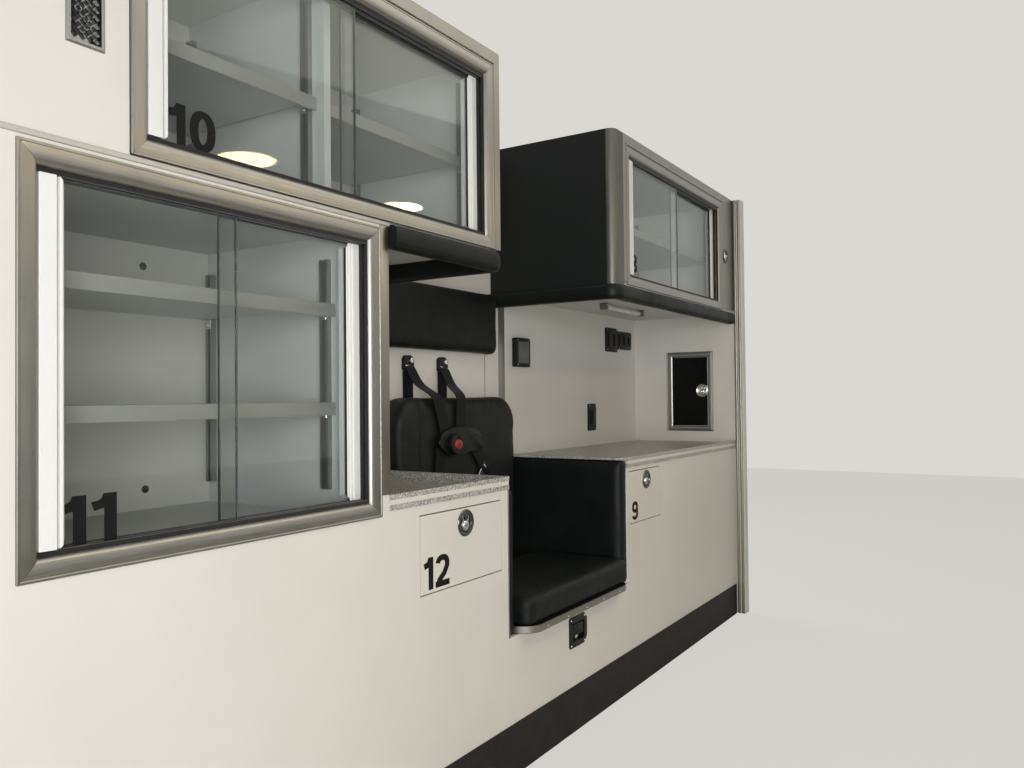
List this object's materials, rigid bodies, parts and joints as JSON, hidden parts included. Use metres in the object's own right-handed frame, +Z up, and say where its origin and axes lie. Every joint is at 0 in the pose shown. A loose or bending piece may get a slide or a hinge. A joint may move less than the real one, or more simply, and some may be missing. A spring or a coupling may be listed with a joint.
{
  "type": "ambulance interior side-wall cabinet unit",
  "caption": "Street-side wall unit of an ambulance's patient compartment: framed sliding-window cabinets, counters, drop-down doors and an attendant's seat bay.",
  "frame": {"origin": "at floor level under the middle of the unit's box", "axes": "+X towards the vehicle's front, +Y outboard towards the body side (the fronts face -Y), +Z up"},
  "size_m": [3.246, 0.54, 1.838],
  "materials": {
    "wall_laminate": "satin",
    "cabinet_lining": "satin",
    "dark_laminate": "matte",
    "brushed_aluminium": "brushed",
    "kick_vinyl": "matte",
    "galvanised_steel": "satin",
    "solid_surface": "satin",
    "polished_chrome": "polished",
    "black_panel": "satin",
    "charcoal_vinyl": "grained",
    "brown_vinyl": "grained",
    "black_felt": "felt",
    "black_webbing": "woven",
    "black_plastic": "moulded",
    "lamp_lens": "frosted",
    "clear_polycarbonate": "clear",
    "white_extrusion": "satin"
  },
  "bodies": {
    "root": {"back_skin": "wall_laminate", "backrest": "brown_vinyl", "bumper_pads": "charcoal_vinyl", "counters": "solid_surface", "decks": "cabinet_lining", "face_fore": "wall_laminate", "face_posts": "brushed_aluminium", "face_rear": "wall_laminate", "face_rear_upper": "wall_laminate", "face_seat": "wall_laminate", "fore_side": "dark_laminate", "frame_11": "brushed_aluminium", "front_wall": "wall_laminate", "harness_anchors": "black_plastic", "harness_buckle": "black_plastic", "harness_straps": "black_webbing", "head_pad": "charcoal_vinyl", "kick_strip": "kick_vinyl", "partitions": "cabinet_lining", "piano_hinges": "brushed_aluminium", "post_lock": "polished_chrome", "seat_latch": "black_plastic", "shelves": "cabinet_lining", "side_pads": "charcoal_vinyl", "standards": "galvanised_steel", "track_11": "black_felt", "trims": "brushed_aluminium", "tube_lamp": "lamp_lens", "vent_grille": "polished_chrome", "wall_plates": "black_plastic"},
    "window_11_left": {"pane_11_left": "clear_polycarbonate", "pull_11_left": "white_extrusion"},
    "window_11_right": {"pane_11_right": "clear_polycarbonate", "pull_11_right": "white_extrusion"},
    "lift_10": {"frame_10": "brushed_aluminium", "track_10": "black_felt"},
    "window_10_left": {"pane_10_left": "clear_polycarbonate", "pull_10_left": "white_extrusion"},
    "window_10_right": {"pane_10_right": "clear_polycarbonate", "pull_10_right": "white_extrusion"},
    "lift_fore": {"frame_fore": "brushed_aluminium", "track_fore": "black_felt"},
    "window_fore_left": {"pane_fore_left": "clear_polycarbonate", "pull_fore_left": "white_extrusion"},
    "window_fore_right": {"pane_fore_right": "clear_polycarbonate", "pull_fore_right": "white_extrusion"},
    "door_12": {"door_12": "wall_laminate", "latch_12": "polished_chrome"},
    "door_9": {"door_9": "wall_laminate", "latch_9": "polished_chrome"},
    "seat_lid": {"seat_board": "brushed_aluminium", "seat_cushion": "charcoal_vinyl"},
    "pass_door": {"pass_frame": "brushed_aluminium", "pass_door": "black_panel", "pass_latch": "polished_chrome"}
  },
  "joints": [
    {"name": "slide_11_left", "type": "slide", "parent": "root", "child": "window_11_left", "axis": [1, 0, 0], "range_m": [0, 0.325]},
    {"name": "slide_11_right", "type": "slide", "parent": "root", "child": "window_11_right", "axis": [-1, 0, 0], "range_m": [0, 0.325]},
    {"name": "lift_10_hinge", "type": "hinge", "parent": "root", "child": "lift_10", "pos_m": [-0.857, -0.235, 1.8065], "axis": [-1, 0, 0], "range_deg": [0, 80]},
    {"name": "slide_10_left", "type": "slide", "parent": "lift_10", "child": "window_10_left", "axis": [1, 0, 0], "range_m": [0, 0.455]},
    {"name": "slide_10_right", "type": "slide", "parent": "lift_10", "child": "window_10_right", "axis": [-1, 0, 0], "range_m": [0, 0.455]},
    {"name": "lift_fore_hinge", "type": "hinge", "parent": "root", "child": "lift_fore", "pos_m": [0.933, -0.235, 1.8065], "axis": [-1, 0, 0], "range_deg": [0, 80]},
    {"name": "slide_fore_left", "type": "slide", "parent": "lift_fore", "child": "window_fore_left", "axis": [1, 0, 0], "range_m": [0, 0.455]},
    {"name": "slide_fore_right", "type": "slide", "parent": "lift_fore", "child": "window_fore_right", "axis": [-1, 0, 0], "range_m": [0, 0.455]},
    {"name": "door_12_hinge", "type": "hinge", "parent": "root", "child": "door_12", "pos_m": [-0.5015, -0.2288, 0.5315], "axis": [1, 0, 0], "range_deg": [0, 90]},
    {"name": "door_9_hinge", "type": "hinge", "parent": "root", "child": "door_9", "pos_m": [0.573, -0.2288, 0.5425], "axis": [1, 0, 0], "range_deg": [0, 90]},
    {"name": "seat_lid_hinge", "type": "hinge", "parent": "root", "child": "seat_lid", "pos_m": [0.05, 0.09, 0.3523], "axis": [-1, 0, 0], "range_deg": [0, 60]},
    {"name": "pass_door_hinge", "type": "hinge", "parent": "root", "child": "pass_door", "pos_m": [1.5797, 0.0858, 0.9865], "axis": [0, 0, -1], "range_deg": [0, 100]}
  ]
}
